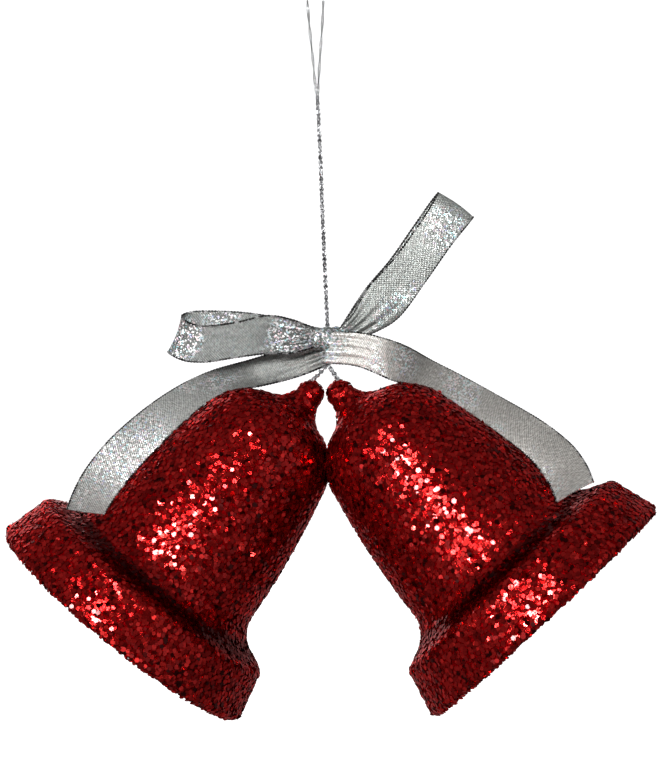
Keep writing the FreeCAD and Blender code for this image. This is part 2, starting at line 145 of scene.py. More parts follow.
# ribbon
THREAD_PITCH = 0.62
STREAKS_PER_MM = (3.2, 0.9, 0.0)
FACETS_PER_MM = 2.4
# painted light and shade along a ribbon piece: the share of the reach that keeps the near lightness, and
# the reach in millimetres where the far lightness is reached
PAINTED_LIGHT_START, PAINTED_LIGHT_REACH = 0.55, 40.0
# the lightness painted on the wrap for how light falls on it: painted shade
WRAP_PAINTED_SHADE = (0.44, 0.48, 0.465)
# painted glints: how much of their light colours goes into the ribbon's colour, the share of facets that
# take them, the share of each place's reach at full strength, and how far a bump really tilts those facets
PAINTED_GLINT_STRENGTH, GLINT_SHARE, GLINT_CORE, GLINT_TILT = 0.55, 0.38, 0.4, 3.5
SELVAGE_RADIUS, SELVAGE_BEAD, SELVAGE_RELIEF, SELVAGE_STEP = 0.25, 0.8, 0.28, 0.12
RIBBON_ROW, RIBBON_COLUMNS = 0.4, 33
PLEATS = 3.5
# folds of a strip: the depth and reach of its pleats, its bulge, and how the bulge wanders
LOOP_FOLDS = (0.75, 6.0, 0.45, 12.0, 0.25)
TAIL_FOLDS = (0.7, 5.0, 0.3, 10.0, 0.2)

# the wrap round the middle of the bow
WRAP_COLUMNS, WRAP_ROWS = 51, 72
WRAP_HALF_WIDTH, WRAP_RADIUS, WRAP_SHIFT = 5.0, 2.45, 0.9
CREASE_DEPTH, CREASE_TURNS, CREASE_DRIFT = 0.34, 1.25, 0.35
WRAP_BARREL, ROLL_DEPTH, ROLL_REACH = 0.28, 0.7, 0.8
WRAP_DEPTH, WRAP_INSIDE = 1.08, 0.8
# how far the wrap sways, how fast round it and along it, from where, and the share that goes outwards
WRAP_SWAY, SWAY_ROUND, SWAY_ALONG, SWAY_STARTS, SWAY_OUTWARD = 0.25, 2, 0.9, (0.6, 0.4), 0.25
WRAP_CLOTH_RADIUS, WRAP_INSIDE_CLOTH = 2.8, 20

# how light the room is in each direction: (-1 is towards the viewer and 1 is away from them, level)
ROOM_LIGHT = ((-0.97, 0.0), (-0.8, 0.16), (0.1, 0.19), (0.7, 0.45))

# the stage, in metres and watts. Each light has a name, a place, a size and a power
VIEW_CENTRE = (0.0045, 0.0, -0.10925)
CAMERA_DISTANCE, CAMERA_LENS, SENSOR_WIDTH = 0.5375, 100, 36
LIGHTS = (
    ("key", (-0.34, -0.97, 0.12), 0.23, 21.0),
    ("fill", (0.9, -0.7, 0.1), 0.9, 1.2),
    ("low", (-0.2, -0.8, -0.6), 0.8, 3.5),
    ("behind", (-0.5, 1.1, 0.3), 1.0, 3.5),
)
FLOOR, SHEET_FRONT, SHEET_BEND, SHEET_RADIUS = -0.29, -2.5, 1.2, 0.8
SHEET_TOP, SHEET_HALF_WIDTH, LEVEL_POINTS, CURVE_POINTS = 4.0, 4.0, 8, 16

rng = np.random.default_rng(11)


# ---- small vector helpers


def unit(v):
    """Vectors scaled to length one, along the last axis."""
    v = np.asarray(v, float)
    return v / np.maximum(np.linalg.norm(v, axis=-1, keepdims=True), 1e-12)


def smooth(x):
    """A smooth step from 0 to 1."""
    x = np.clip(x, 0.0, 1.0)
    return x * x * (3 - 2 * x)


def spline(points, count, power=0.5):
    """Evenly spaced points on a smooth curve; its knots are spaced by distance to a power."""
    points = np.asarray(points, float)
    knots = np.concatenate([[0], np.cumsum(np.linalg.norm(np.diff(points, axis=0), axis=1) ** power)])
    dense = hermite(knots, points, np.linspace(0, knots[-1], count * 6))
    length = lengths_along(dense)
    even = np.linspace(0, length[-1], count)
    return places_along(dense, length, even)


def hermite(knots, points, at):
    """Cubic interpolation of points with finite-difference slopes."""
    slopes = np.gradient(points, knots, axis=0)
    index = np.clip(np.searchsorted(knots, at, side="right") - 1, 0, len(knots) - 2)
    span = knots[index + 1] - knots[index]
    t = ((at - knots[index]) / span)[:, None]
    a, b = points[index], points[index + 1]
    ma, mb = slopes[index] * span[:, None], slopes[index + 1] * span[:, None]
    t2, t3 = t * t, t * t * t
    return a * (2 * t3 - 3 * t2 + 1) + ma * (t3 - 2 * t2 + t) + b * (3 * t2 - 2 * t3) + mb * (t3 - t2)


def lengths_along(path):
    """How far along a path each of its points is."""
    return np.concatenate([[0], np.cumsum(np.linalg.norm(np.diff(path, axis=0), axis=1))])


def places_along(path, length, at):
    """The places at these distances along a path; length is how far along it each of its points is."""
    return np.stack([np.interp(at, length, axis) for axis in path.T], axis=1)


def tangents(path):
    """Directions along a path."""
    return unit(np.gradient(path, axis=0))


def full_turn(count):
    """Angles evenly spaced round a circle."""
    return np.linspace(0, 2 * math.pi, count, endpoint=False)


def turned(first, second, angle):
    """The direction at an angle from the first direction towards the second."""
    return np.cos(angle)[..., None] * first + np.sin(angle)[..., None] * second


def carried_frames(path):
    """Two directions square to a path, carried along it without twisting."""
    along = tangents(path)
    start = np.cross(along[0], UP if abs(along[0] @ UP) < 0.9 else BACK)
    first = [unit(start)]
    for direction in along[1:]:
        first.append(unit(first[-1] - direction * (first[-1] @ direction)))
    first = np.array(first)
    return first, np.cross(along, first)


def wander(count, length, wave, amount):
    """Smooth random values of a given wavelength along a length."""
    knots = max(4, int(length / wave) + 3)
    values = rng.normal(0, amount, knots)
    at = np.linspace(0, knots - 1, count)
    low = np.clip(at.astype(int), 0, knots - 2)
    return values[low] + (values[low + 1] - values[low]) * smooth(at - low)


# ---- places in the ornament


def lean_vector(degrees):
    """The direction that leans this far to the right of straight down."""
    lean = math.radians(degrees)
    return np.array([math.sin(lean), 0, -math.cos(lean)])


LOOP_FOOT = lean_vector(LOOP_LEAN) * LOOP_LENGTH
BOW_TOP = LOOP_FOOT + lean_vector(STEM_LEAN) * STEM_LENGTH
WRAP_CENTRE = BOW_TOP - UP * WRAP_DROP
FORK = BOW_TOP - UP * FORK_DROP
# places where glints are painted on the folded ribbon, each with its reach
PAINTED_GLINT_PLACES = (
    (WRAP_CENTRE + (0.0, -2.0, 0.0), 9.0),
    ((33.0, -2.5, -70.0), 8.0),
    ((-33.0, -1.0, -97.0), 7.0),
    ((-46.0, -7.0, -125.0), 18.0),
    ((25.0, -3.0, -102.0), 8.0),
)


def swung(side, directions):
    """Directions turned with one side's bell, which may hang a little forward or back of the bow."""
    swing = math.radians(SWING[side])
    x, y, z = np.moveaxis(np.asarray(directions, float), -1, 0)
    forward = y * math.cos(swing) - z * math.sin(swing)
    return np.stack([x, forward, y * math.sin(swing) + z * math.cos(swing)], axis=-1)


def leg_end(side):
    """The top of a bell's knob, where its leg cord goes in."""
    return FORK + swung(side, [LEG_SPREAD[side] * SIDES[side], 0, -LEG_FALL])


def bell_directions(side):
    """A bell's axis, towards the mouth, the direction square to it on its outer side, and its back."""
    tilt = math.radians(TILT[side])
    axis = [SIDES[side] * math.sin(tilt), 0, -math.cos(tilt)]
    outward = [SIDES[side] * math.cos(tilt), 0, math.sin(tilt)]
    return swung(side, [axis, outward, BACK])


def bell_place(side, station, radius, turn):
    """Points on a tilted bell from their station, radius and turn round the axis (0 is the outer side)."""
    axis = bell_directions(side)[0]
    apex = leg_end(side) - swung(side, UP) * KNOB_RADIUS - axis * KNOB_RADIUS
    return apex + np.multiply.outer(station, axis) + bell_direction(side, 0 * station, radius, turn)


def bell_direction(side, along, across, turn):
    """Directions on a tilted bell from their parts along the axis and away from it."""
    axis, outward, back = bell_directions(side)
    spoke = turned(outward, back, turn)
    return np.multiply.outer(along, axis) + np.asarray(across)[..., None] * spoke


# ---- outlines


def bent_edge(start, end, bend):
    """Points on the edge from start to end, without its end: straight, or an arc of radius abs(bend)."""
    start, end = np.asarray(start), np.asarray(end)
    chord = end - start
    count = max(1, math.ceil(np.linalg.norm(chord) / OUTLINE_STEP))
    if bend == 0:
        return start + np.outer(np.arange(count) / count, chord)
    half = np.linalg.norm(chord) / 2
    side = unit([chord[1], -chord[0]]) * math.copysign(1, bend)
    centre = (start + end) / 2 - side * math.sqrt(bend * bend - half * half)
    first, last = (math.atan2(*(point - centre)[::-1]) for point in (start, end))
    sweep = (last - first + math.pi) % (2 * math.pi) - math.pi
    count = max(count, math.ceil(abs(sweep) * 8))
    angles = first + sweep * np.arange(count) / count
    return centre + abs(bend) * np.stack([np.cos(angles), np.sin(angles)], axis=1)


def outline(corners):
    """Points along an outline given by its corners."""
    edges = [bent_edge(a[:2], b[:2], a[2]) for a, b in zip(corners, corners[1:])]
    return np.concatenate(edges + [np.array([corners[-1][:2]])])


def outline_normals(points):
    """The outward direction at each point of an outline."""
    return tangents(points)[:, ::-1] * (1, -1)


BELL_LINE = outline(OUTSIDE)


def bell_radius(station):
    """The bell's outer radius at a station."""
    return np.interp(station, BELL_LINE[:, 1], BELL_LINE[:, 0])


# ---- meshes


class Builder:
    """Collects vertices and faces for one piece."""

    def __init__(self):
        self.points, self.faces, self.count = [], [], 0

    def add(self, points, faces):
        points = np.asarray(points, float).reshape(-1, 3)
        self.faces.extend([tuple(int(i) + self.count for i in face) for face in faces])
        self.points.append(points)
        self.count += len(points)

    def mesh(self, name):
        mesh = bpy.data.meshes.new(name)
        mesh.from_pydata((np.concatenate(self.points) * MM).tolist(), [], self.faces)
        return mesh


def grid_faces(rows, columns, wrap_rows=False, wrap_columns=False):
    """Faces of a grid of points."""
    i = np.arange(rows if wrap_rows else rows - 1)
    j = np.arange(columns if wrap_columns else columns - 1)
    i, j = (part.ravel() for part in np.meshgrid(i, j, indexing="ij"))
    i2, j2 = (i + 1) % rows, (j + 1) % columns
    return np.stack([i * columns + j, i2 * columns + j, i2 * columns + j2, i * columns + j2], axis=1)


def add_tube(builder, path, radius, sides=8):
    """A tube with closed ends; radius is one number or one for each point."""
    path = np.asarray(path)
    first, second = carried_frames(path)
    radii = np.broadcast_to(radius, len(path))[:, None, None]
    points = path[:, None] + turned(first[:, None], second[:, None], full_turn(sides)) * radii
    walls = grid_faces(len(path), sides, wrap_columns=True)[:, ::-1]
    last = (len(path) - 1) * sides
    builder.add(points, [*walls, range(sides)[::-1], range(last, last + sides)])


def add_rope(builder, path, radius, pitch=PAIR_TWIST, phase=0.0, plies=2):
    """A rope: two strands laid round a path, each made of finer plies laid round the strand."""
    length = lengths_along(path)
    first, second = carried_frames(path)
    lay = radius / 2
    for strand in range(2):
        turn = phase + 2 * math.pi * (length / pitch + strand / 2)
        spoke = turned(first, second, turn)
        middle = path + spoke * lay
        side = np.cross(tangents(path), spoke)
        for index in range(plies):
            roll = -2 * math.pi * (length / (pitch * PLY_PITCH) + index / plies)
            add_tube(builder, middle + turned(spoke, side, roll) * lay / 2, lay * PLY_RADIUS, sides=6)


def finish_mesh(mesh, material, body, stands_for, smooth_angle=50.0):
    """Put a mesh in the scene as a piece of the ornament, in place of the solid it stands for.

    body is the name of the body it rides on, or (first body, second body, start, end) for a piece that lies
    between two bodies; such a piece is only fixed where it stands, and the tuple's values are not read.
    """
    piece = bpy.data.objects.new(mesh.name, mesh)
    bpy.context.scene.collection.objects.link(piece)
    mesh.materials.append(material)
    mesh.shade_smooth()
    mesh.set_sharp_from_angle(angle=math.radians(smooth_angle))
    if isinstance(body, str):
        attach(piece, body)
    else:
        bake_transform(piece)
    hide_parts(stands_for)


# ---- materials


def grey(level):
    """A colour with no hue."""
    return (level, level, level)


class Nodes:
    """A short way to write the nodes of a material or a world."""

    def __init__(self, owner, shader):
        owner.use_nodes = True
        self.owner = owner
        self.tree = owner.node_tree
        self.shader = self.tree.nodes[shader]

    def add(self, kind, inputs=(), **settings):
        node = self.tree.nodes.new(kind)
        for key, value in settings.items():
            setattr(node, key, value)
        for key, value in dict(inputs).items():
            self.put(node, key, value)
        return node

    def put(self, node, key, value):
        if isinstance(value, bpy.types.NodeSocket):
            self.tree.links.new(value, node.inputs[key])
        else:
            node.inputs[key].default_value = value

    def math(self, operation, a, b=0.0):
        return self.add("ShaderNodeMath", {0: a, 1: b}, operation=operation).outputs[0]

    def vector(self, operation, a, b, output=0):
        return self.add("ShaderNodeVectorMath", {0: a, 1: b}, operation=operation).outputs[output]

    def ramp(self, value, *stops):
        """A colour ramp: each stop is (place, (r, g, b))."""
        node = self.add("ShaderNodeValToRGB", {0: value})
        points = node.color_ramp.elements
        while len(points) < len(stops):
            points.new(0.5)
        for point, (place, colour) in zip(points, stops):
            point.position = place
            point.color = (*colour, 1)
        return node.outputs[0]

    def mix(self, amount, first, second, blend_type="MIX"):
        """The first colour mixed with an amount of the second."""
        inputs = {0: amount, 6: first, 7: second}
        return self.add("ShaderNodeMix", inputs, data_type="RGBA", blend_type=blend_type).outputs[2]

    def between(self, value, low, high):
        """A value from 0..1 moved into low..high."""
        return self.add("ShaderNodeMapRange", {0: value, 3: low, 4: high}).outputs[0]

    def noise(self, where, per_mm, detail=3.0):
        return self.add("ShaderNodeTexNoise", {0: where, "Scale": per_mm / MM, "Detail": detail}).outputs[0]

    def cells(self, where, per_mm):
        return self.add("ShaderNodeTexVoronoi", {0: where, "Scale": per_mm / MM})

    def bump(self, height, depth_mm):
        inputs = {"Height": height, "Distance": depth_mm * MM, "Strength": 1.0}
        return self.add("ShaderNodeBump", inputs).outputs[0]

    def place(self):
        return self.add("ShaderNodeTexCoord").outputs["Object"]

    def surface(self, **inputs):
        """Set the shader's inputs, named with _ for each space, and give back the material or world."""
        for key, value in inputs.items():
            self.put(self.shader, key.replace("_", " "), value)
        return self.owner


def material_nodes(name):
    return Nodes(bpy.data.materials.new(name), "Principled BSDF")


def flake_material():
    """Metal-film glitter flakes; each flake has its own tone, which also carries the painted shade of the
    groove.
    """
    n = material_nodes("red_glitter_flake")
    tone = n.add("ShaderNodeAttribute", attribute_name="tone").outputs["Fac"]
    colour = n.ramp(
        tone,
        (0.0, (0.004, 0.0, 0.0)),
        (0.3, (0.06, 0.0, 0.0)),
        (0.6, (0.28, 0.006, 0.006)),
        (1.0, (0.75, 0.026, 0.022)),
    )
    crease = n.noise(n.place(), per_mm=2.2)
    return n.surface(
        Base_Color=colour,
        Metallic=0.9,
        Roughness=n.between(tone, 0.24, 0.12),
        Specular_IOR_Level=0.15,
        Specular_Tint=(0.9, 0.04, 0.04, 1.0),
        Coat_Weight=0.18,
        Coat_Roughness=0.06,
        Normal=n.bump(crease, depth_mm=0.06),
    )


def bed_material():
    """The lacquer and fine glitter dust that the flakes are set in."""
    n = material_nodes("red_glitter_bed")
    where = n.place()
    speck = n.cells(where, per_mm=2.6)
    colour = n.ramp(speck.outputs["Color"], (0.2, (0.04, 0.0, 0.0)), (0.7, (0.12, 0.0, 0.001)))
    return n.surface(
        Base_Color=colour,
        Metallic=0.45,
        Specular_IOR_Level=0.12,
        Specular_Tint=(0.9, 0.04, 0.04, 1.0),
        Roughness=n.between(n.noise(where, per_mm=0.5), 0.35, 0.6),
        Normal=n.bump(speck.outputs["Distance"], depth_mm=0.12),
    )


def foam_material():
    """Painted moulded foam inside the bells: small closed cells under a matt red paint."""
    n = material_nodes("painted_foam")
    where = n.place()
    cell = n.cells(where, per_mm=0.55)
    patch = n.noise(where, per_mm=0.08)
    colour = n.ramp(patch, (0.3, (0.2, 0.006, 0.006)), (0.7, (0.34, 0.012, 0.01)))
    height = n.math("ADD", cell.outputs["Distance"], n.math("MULTIPLY", n.noise(where, per_mm=1.5), 0.5))
    return n.surface(
        Base_Color=colour,
        Roughness=n.between(patch, 0.5, 0.8),
        Normal=n.bump(height, depth_mm=0.25),
    )


def cord_material():
    """Silver metallised yarn, with random cells painted light and dark: painted glints and painted shade of
    its twist.
    """
    n = material_nodes("silver_yarn")
    where = n.place()
    fibre = n.noise(where, per_mm=5.0)
    painted_glint_and_shade = n.cells(where, per_mm=1.6).outputs["Color"]
    # painted glints and painted shade: random cells of the yarn painted from dark to light
    colour = n.ramp(painted_glint_and_shade, (0.25, (0.1, 0.1, 0.105)), (0.6, (0.34, 0.34, 0.35)), (0.9, (0.75, 0.76, 0.78)))
    return n.surface(
        Base_Color=colour,
        Metallic=0.8,
        Roughness=n.between(fibre, 0.25, 0.45),
        Normal=n.bump(fibre, depth_mm=0.08),
    )


def facets(n, cloth):
    """Little flat facets, each tilted its own way, with each facet's own colour value."""
    scaled = n.vector("MULTIPLY", cloth, (FACETS_PER_MM, FACETS_PER_MM, 0))
    cell = n.add("ShaderNodeTexVoronoi", {0: scaled, "Scale": 1.0})
    inside = n.vector("SUBTRACT", scaled, cell.outputs["Position"])
    lean = n.vector("SUBTRACT", cell.outputs["Color"], grey(0.5))
    tilt = n.vector("DOT_PRODUCT", inside, lean, "Value")
    return tilt, n.add("ShaderNodeSeparateColor", {0: cell.outputs["Color"]})


def weave_height(n, cloth):
    """The over-and-under of the ribbon's threads; cloth is the place on the ribbon in millimetres."""
    threads = n.vector("MULTIPLY", cloth, (2 * math.pi / THREAD_PITCH, 2 * math.pi / THREAD_PITCH, 0))
    split = n.add("ShaderNodeSeparateXYZ", {0: threads})
    return n.math("MULTIPLY", n.math("SINE", split.outputs[0]), n.math("SINE", split.outputs[1]))


def painted_glint_patches(n):
    """Where the ribbon glints, with painted glints and tilted facets: at the places where it folds, and in
    a few patches elsewhere.
    """
    where = n.place()
    patch = n.ramp(n.noise(where, per_mm=0.085), (0.5, grey(0.06)), (0.66, grey(0.8)))
    for place, reach in PAINTED_GLINT_PLACES:
        away = n.vector("DISTANCE", where, tuple(np.array(place) * MM), "Value")
        fade = {0: away, 1: GLINT_CORE * reach * MM, 2: reach * MM, 3: 1.0, 4: 0.0}
        near = n.add("ShaderNodeMapRange", fade, interpolation_type="SMOOTHSTEP").outputs[0]
        patch = n.math("MAXIMUM", patch, near)
    return patch


def ribbon_material(name, near, far):
    """Silver lame ribbon: a fine metallised weave, with painted glints: patches where white, blue, teal and
    pink are mixed into the colour, on facets that a bump really tilts.

    near and far are painted light and shade, for how light falls on the piece: how light it is painted up
    to the start share of the reach, and from the reach on.
    """
    n = material_nodes(name)
    cloth = n.add("ShaderNodeUVMap", uv_map="cloth").outputs[0]
    weave = weave_height(n, cloth)
    facet, spot = facets(n, cloth)
    stretched = n.vector("MULTIPLY", cloth, STREAKS_PER_MM)
    streak = n.add("ShaderNodeTexNoise", {0: stretched, "Scale": 1.0, "Detail": 2.0}).outputs[0]
    thread = n.math("ADD", n.between(weave, 0.0, 0.4), n.math("MULTIPLY", streak, 0.9))
    along = n.add("ShaderNodeSeparateXYZ", {0: cloth}).outputs[0]
    # painted light and shade along the piece, from its near to its far lightness
    painted_light = n.ramp(n.math("DIVIDE", along, PAINTED_LIGHT_REACH), (PAINTED_LIGHT_START, near), (1.0, far))
    yarn = n.ramp(
        thread,
        (0.35, (0.17, 0.173, 0.168)),
        (0.6, (0.38, 0.39, 0.375)),
        (0.9, (0.66, 0.68, 0.655)),
    )
    silver = n.mix(1.0, yarn, painted_light, blend_type="MULTIPLY")
    # the colours of the painted glints: white, teal, pink and blue mixed into the base colour
    painted_glint_colour = n.ramp(
        spot.outputs[1],
        (0.0, (0.4, 0.85, 0.9)),
        (0.3, (0.95, 0.97, 1.0)),
        (0.62, (1.0, 1.0, 0.97)),
        (0.8, (1.0, 0.66, 0.68)),
        (1.0, (0.5, 0.62, 1.0)),
    )
    patch = painted_glint_patches(n)
    chosen = n.math("GREATER_THAN", spot.outputs[2], 1 - GLINT_SHARE)
    amount = n.math("MULTIPLY", chosen, n.math("MULTIPLY", patch, PAINTED_GLINT_STRENGTH))
    tilt = n.math("MULTIPLY", facet, n.math("MULTIPLY", patch, GLINT_TILT))
    height = n.math("ADD", n.math("MULTIPLY", weave, 0.7), tilt)
    return n.surface(
        Base_Color=n.mix(amount, silver, painted_glint_colour),
        Metallic=0.6,
        Roughness=n.between(amount, 0.42, 0.2),
        Normal=n.bump(height, depth_mm=0.05),
    )


def selvage_material():
    """The dark corded edge of the ribbon, with a bright thread crossing it now and then."""
    n = material_nodes("ribbon_selvage")
    where = n.place()
    bright = n.cells(where, per_mm=0.9).outputs["Color"]
    colour = n.ramp(bright, (0.6, grey(0.008)), (0.85, grey(0.22)))
    return n.surface(
        Base_Color=colour,
        Metallic=0.2,
        Specular_IOR_Level=0.15,
        Roughness=n.between(n.noise(where, per_mm=2.0), 0.35, 0.6),
        Normal=n.bump(n.noise(where, per_mm=4.0), depth_mm=0.05),
    )


def bead_material():
    """Red lacquer of the clapper bead, under its glitter."""
    n = material_nodes("bead_lacquer")
    where = n.place()
    patch = n.noise(where, per_mm=0.3)
    return n.surface(
        Base_Color=n.ramp(patch, (0.3, (0.12, 0.002, 0.002)), (0.7, (0.22, 0.004, 0.004))),
        Roughness=n.between(n.noise(where, per_mm=1.2), 0.2, 0.4),
        Normal=n.bump(n.noise(where, per_mm=0.9), depth_mm=0.1),
    )


FLAKE = flake_material()
BED = bed_material()
FOAM = foam_material()
YARN = cord_material()
# one copy of the silver lame for each piece, each painted lighter or darker for how light falls on it:
# painted light and shade
RIBBON = {
    "left_loop": ribbon_material("left_loop_lame_painted_shading", (0.27, 0.275, 0.27), (0.3, 0.305, 0.3)),
    "right_loop": ribbon_material("right_loop_lame_painted_shading", (0.46, 0.47, 0.46), (0.75, 0.76, 0.75)),
    "left_tail": ribbon_material("left_tail_lame_painted_shading", (0.42, 0.42, 0.41), (1.0, 0.99, 0.98)),
    # the right tail's warm tint is a painted reflection of the red bell, on top of its painted light
    "right_tail": ribbon_material("right_tail_lame_painted_shading_and_reflection", (0.95, 0.9, 0.87), (1.0, 0.94, 0.91)),
    "wrap": ribbon_material("wrap_lame_painted_shading", WRAP_PAINTED_SHADE, WRAP_PAINTED_SHADE),
}
SELVAGE = selvage_material()
BEAD = bead_material()


# ---- cords


def loop_path():
    """Down one strand from the meeting point, over the eye and back."""
    centre = EYE_RADIUS + STRAND_RADIUS
    touch = math.acos((EYE_RADIUS - STRAND_RADIUS) / (LOOP_LENGTH - centre))
    angles = np.linspace(math.pi / 2 - touch, math.pi / 2 + touch, EYE_POINTS)
    arc = np.stack([EYE_RADIUS * np.cos(angles), 0 * angles, -centre + EYE_RADIUS * np.sin(angles)], axis=1)
    feet = np.array([[STRAND_RADIUS, 0, -LOOP_LENGTH], [-STRAND_RADIUS, 0, -LOOP_LENGTH]])
    path = np.concatenate([feet[:1], arc, feet[1:]])
    lean = math.radians(LOOP_LEAN)
    turn = np.array([[math.cos(lean), 0, -math.sin(lean)], [0, 1, 0], [math.sin(lean), 0, math.cos(lean)]])
    return spline(path @ turn.T, LOOP_POINTS, power=1.0)


def straight(start, end):
    """Points on a straight line."""
    count = max(3, int(np.linalg.norm(end - start) / CORD_STEP))
    return start + np.outer(np.linspace(0, 1, count), end - start)


def add_knot(builder, centre, radius, cord, direction):
    """A small tight knot."""
    t = np.linspace(0, 2 * math.pi, KNOT_POINTS)
    shape = np.stack([np.sin(t) + 2 * np.sin(2 * t), np.cos(t) - 2 * np.cos(2 * t), -np.sin(3 * t)], axis=1)
    shape *= (radius - cord) / 3
    first = unit(np.cross(direction, BACK))
    second = np.cross(direction, first)
    add_tube(builder, centre + shape @ np.stack([first, second, direction]), cord)


def cord_piece(name, builder, body, stands_for):
    """Put a finished cord in the scene."""
    finish_mesh(builder.mesh(name), YARN, body, stands_for)


def hanging_cord():
    """The loop of single strand, and the twisted pair down to the bow."""
    build = Builder()
    add_rope(build, loop_path(), LOOP_CORD, STRAND_TWIST, plies=1)
    stem = straight(LOOP_FOOT + UP * STEM_OVERLAP, WRAP_CENTRE + UP * STEM_STOP)
    sway = wander(len(stem), STEM_LENGTH, SWAY_WAVE, STEM_SWAY)[:, None] * (1, 0, 0)
    place = np.arange(len(stem))
    fade = smooth(np.minimum(place, place[::-1]) / SWAY_FADE)[:, None]
    add_rope(build, stem + sway * fade, STEM_CORD)
    cord_piece("hanging_cord_rope", build, "hanger", "hanging_cord")


def cord_knot():
    """The knot inside the bow and the pair of cords that leaves it."""
    build = Builder()
    add_knot(build, WRAP_CENTRE, CORD_KNOT_RADIUS, KNOT_CORD, UP)
    add_rope(build, straight(WRAP_CENTRE - UP, FORK - UP * FORK_OVERLAP), FORK_CORD)
    cord_piece("cord_knot_rope", build, "bow", "cord_knot")


def leg_cord(side):
    """The rope from under the bow to the top of a bell."""
    build = Builder()
    add_rope(build, straight(FORK, leg_end(side) - UP * LEG_OVERLAP), LEG_CORD, phase=SIDES[side])
    cord_piece(f"{side}_leg_rope", build, f"{side}_leg", f"{side}_leg_cord")


def crown_cord(side):
    """The cord through the crown and its stopper knot."""
    build = Builder()
    stopper = bell_place(side, STOPPER_DEPTH, 0.0, 0.0)
    add_rope(build, straight(leg_end(side) + UP * CROWN_OVERLAP, stopper), CROWN_CORD)
    add_knot(build, stopper, STOPPER_RADIUS, KNOT_CORD, bell_directions(side)[0])
    cord_piece(f"{side}_crown_rope", build, f"{side}_bell", f"{side}_crown_cord")


# ---- glitter


def add_flakes(builder, centres, normals, radius):
    """Six-sided flakes, each rooted in the bed by a point under its middle."""
    count = len(centres)
    loose = rng.uniform(size=(count, 1)) < LOOSE_FLAKE_SHARE
    tilt = rng.normal(0, 1, (count, 3)) * np.radians(np.where(loose, LOOSE_FLAKE_TILT, FLAKE_TILT))
    facing = unit(normals + tilt)
    first = unit(np.cross(facing, unit(rng.normal(size=(count, 3)))))
    second = np.cross(facing, first)
    size = radius * rng.uniform(*FLAKE_SIZES, count)[:, None, None]
    top = centres[:, None] + turned(first[:, None], second[:, None], FLAKE_CORNERS) * size
    root = (centres - normals * FLAKE_ROOT)[:, None]
    points = np.concatenate([top, root], axis=1)
    hexagon = tuple(range(FLAKE_SIDES))
    plan = [hexagon] + [(i, FLAKE_SIDES, (i + 1) % FLAKE_SIDES) for i in hexagon]
    faces = [[FLAKE_POINTS * flake + i for i in face] for flake in range(count) for face in plan]
    builder.add(points, faces)


def flake_attributes(mesh, count, shade):
    """Give each flake its own tone, times the painted shade, and its own cell of the bake layout."""
    tone = np.clip(rng.normal(FLAKE_TONE, TONE_SPREAD, count), TONE_LEAST, 1.0)
    tone[rng.uniform(size=count) < DARK_FLAKE_SHARE] = DARK_FLAKE_TONE
    tone = np.repeat(tone * shade, FLAKE_POINTS)
    mesh.attributes.new("tone", "FLOAT", "POINT").data.foreach_set("value", tone.astype(np.float32))
    cells = math.ceil(math.sqrt(count))
    flake = np.arange(count)
    middle = np.stack([flake % cells, flake // cells], axis=1) + 0.5
    rim = np.stack([np.cos(FLAKE_CORNERS), np.sin(FLAKE_CORNERS)], axis=1)
    hexagon = middle[:, None] + CELL_REACH * rim[None]
    sides = np.repeat(middle[:, None], 3 * FLAKE_SIDES, axis=1)
    layout = np.concatenate([hexagon, sides], axis=1) / cells
    layer = mesh.uv_layers.new(name="OFBake")
    layer.data.foreach_set("uv", layout.astype(np.float32).ravel())


def glitter(name, centres, normals, body, stands_for, radius=FLAKE_RADIUS, slot="glitter", shade=1.0):
    """A coat of flakes at the given places; shade, one number or one for each flake, is painted shade that
    darkens them.
    """
    build = Builder()
    add_flakes(build, centres, normals, radius)
    mesh = build.mesh(name)
    flake_attributes(mesh, len(centres), shade)
    finish_mesh(mesh, FLAKE, body, stands_for, smooth_angle=20.0)


def coat_places(side, line, pitch, keep=1.0):
    """Evenly scattered places over a bell surface turned from a line, with the surface's directions."""
    length = lengths_along(line)
    facing = outline_normals(line)
    rows = np.arange(pitch / 3, length[-1], pitch)
    stations, turns = [], []
    for row in rows:
        radius = np.interp(row, length, line[:, 0])
        count = max(3, int(2 * math.pi * radius / pitch))
        turn = (np.arange(count) + rng.uniform()) / count * 2 * math.pi
        stations.append(row + rng.normal(0, FLAKE_SCATTER * pitch, count))
        turns.append(turn + rng.normal(0, FLAKE_SCATTER, count) * pitch / max(radius, pitch))
    stations, turns = np.concatenate(stations), np.concatenate(turns)
    if keep < 1:
        chosen = rng.uniform(size=len(stations)) < keep
        stations, turns = stations[chosen], turns[chosen]
    radius, depth = places_along(line, length, stations).T
    across, along = places_along(facing, length, stations).T
    normals = unit(bell_direction(side, along, across, turns))
    lift = rng.uniform(*FLAKE_LIFTS, len(stations))[:, None]
    return bell_place(side, depth, radius, turns) + normals * lift, normals


def bell_glitter(side):
    """The coat of flakes outside the bell and over its lip, and a few more strays inside."""
    outside = coat_places(side, BELL_LINE, FLAKE_PITCH)
    lip = coat_places(side, outline((OUTSIDE[-1], HOLLOW[1], LIP_END)), FLAKE_PITCH, LIP_SHARE)
    inside = coat_places(side, outline(HOLLOW[1:]), STRAY_PITCH, STRAY_SHARE)
    stations = (outside[0] - bell_place(side, 0.0, 0.0, 0.0)) @ bell_directions(side)[0]
    # painted shade: the flakes in the groove above the rim are painted darker, where shadow falls
    shade = 1 - GROOVE_SHADE * np.exp(-(((stations - GROOVE_STATION) / GROOVE_REACH) ** 4))
    glitter(f"{side}_bell_glitter", *outside, f"{side}_bell", f"{side}_glitter_coat", shade=shade)
    within = (np.concatenate(pair) for pair in zip(lip, inside))
    glitter(f"{side}_lip_glitter", *within, f"{side}_bell", f"{side}_glitter_coat")


